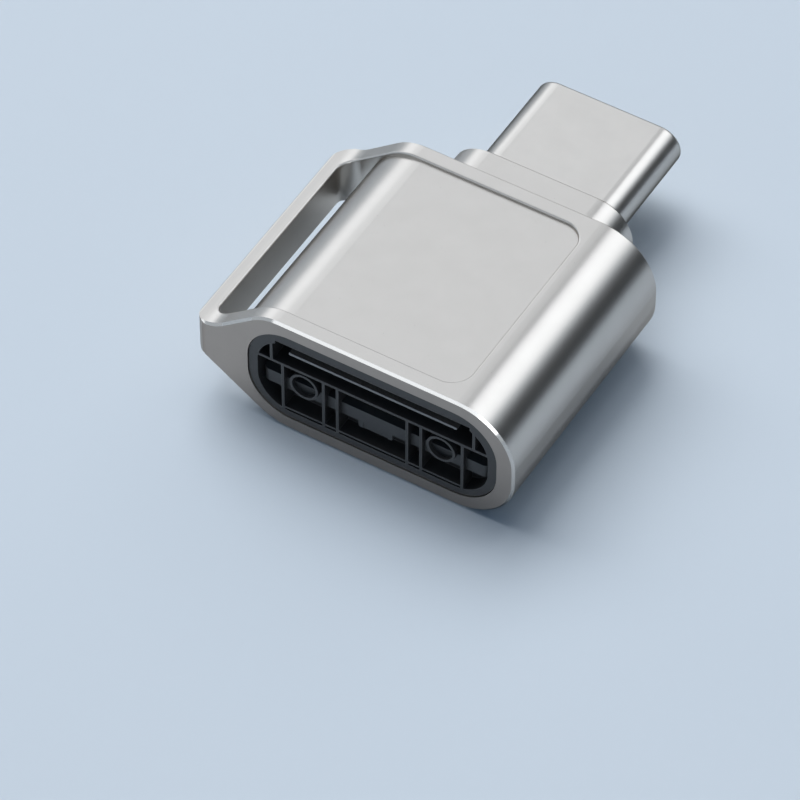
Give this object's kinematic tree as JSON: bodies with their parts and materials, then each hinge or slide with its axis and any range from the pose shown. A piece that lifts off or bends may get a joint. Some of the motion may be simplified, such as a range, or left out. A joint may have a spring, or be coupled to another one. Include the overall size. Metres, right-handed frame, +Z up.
{
  "type": "usb memory card reader",
  "caption": "Small metal card reader with a USB-C plug at the back, a strap loop at one side and a slot for a micro memory card in a ribbed black insert at the front.",
  "frame": {"origin": "middle of the casing's flat underside, below the plug's axis", "axes": "+Z up, +Y along the plug towards its tip, +X away from the strap loop"},
  "size_m": [0.0181, 0.0232, 0.0073],
  "materials": {
    "cast_metal": "satin blasted casting",
    "plug_steel": "satin nickel",
    "cover_tin": "dull tin",
    "black_plastic": "fine moulded",
    "board": "dark solder mask",
    "contact_gold": "gold plated",
    "ceramic_body": "matte",
    "chip_black": "moulded epoxy"
  },
  "bodies": {
    "root": {"bulk_capacitor": "ceramic_body", "card_detect_spring": "contact_gold", "casing": "cast_metal", "ceramic_capacitors": "ceramic_body", "chip_resistors": "chip_black", "circuit_board": "board", "controller_chip": "chip_black", "latch_plate": "plug_steel", "lower_contact_carrier": "black_plastic", "lower_contacts": "contact_gold", "lower_shield_spring": "plug_steel", "plug_housing": "black_plastic", "plug_shell": "plug_steel", "slot_insert": "black_plastic", "socket_base": "black_plastic", "socket_contacts": "contact_gold", "socket_cover": "cover_tin", "upper_contact_carrier": "black_plastic", "upper_contacts": "contact_gold", "upper_shield_spring": "plug_steel"}
  },
  "joints": []
}
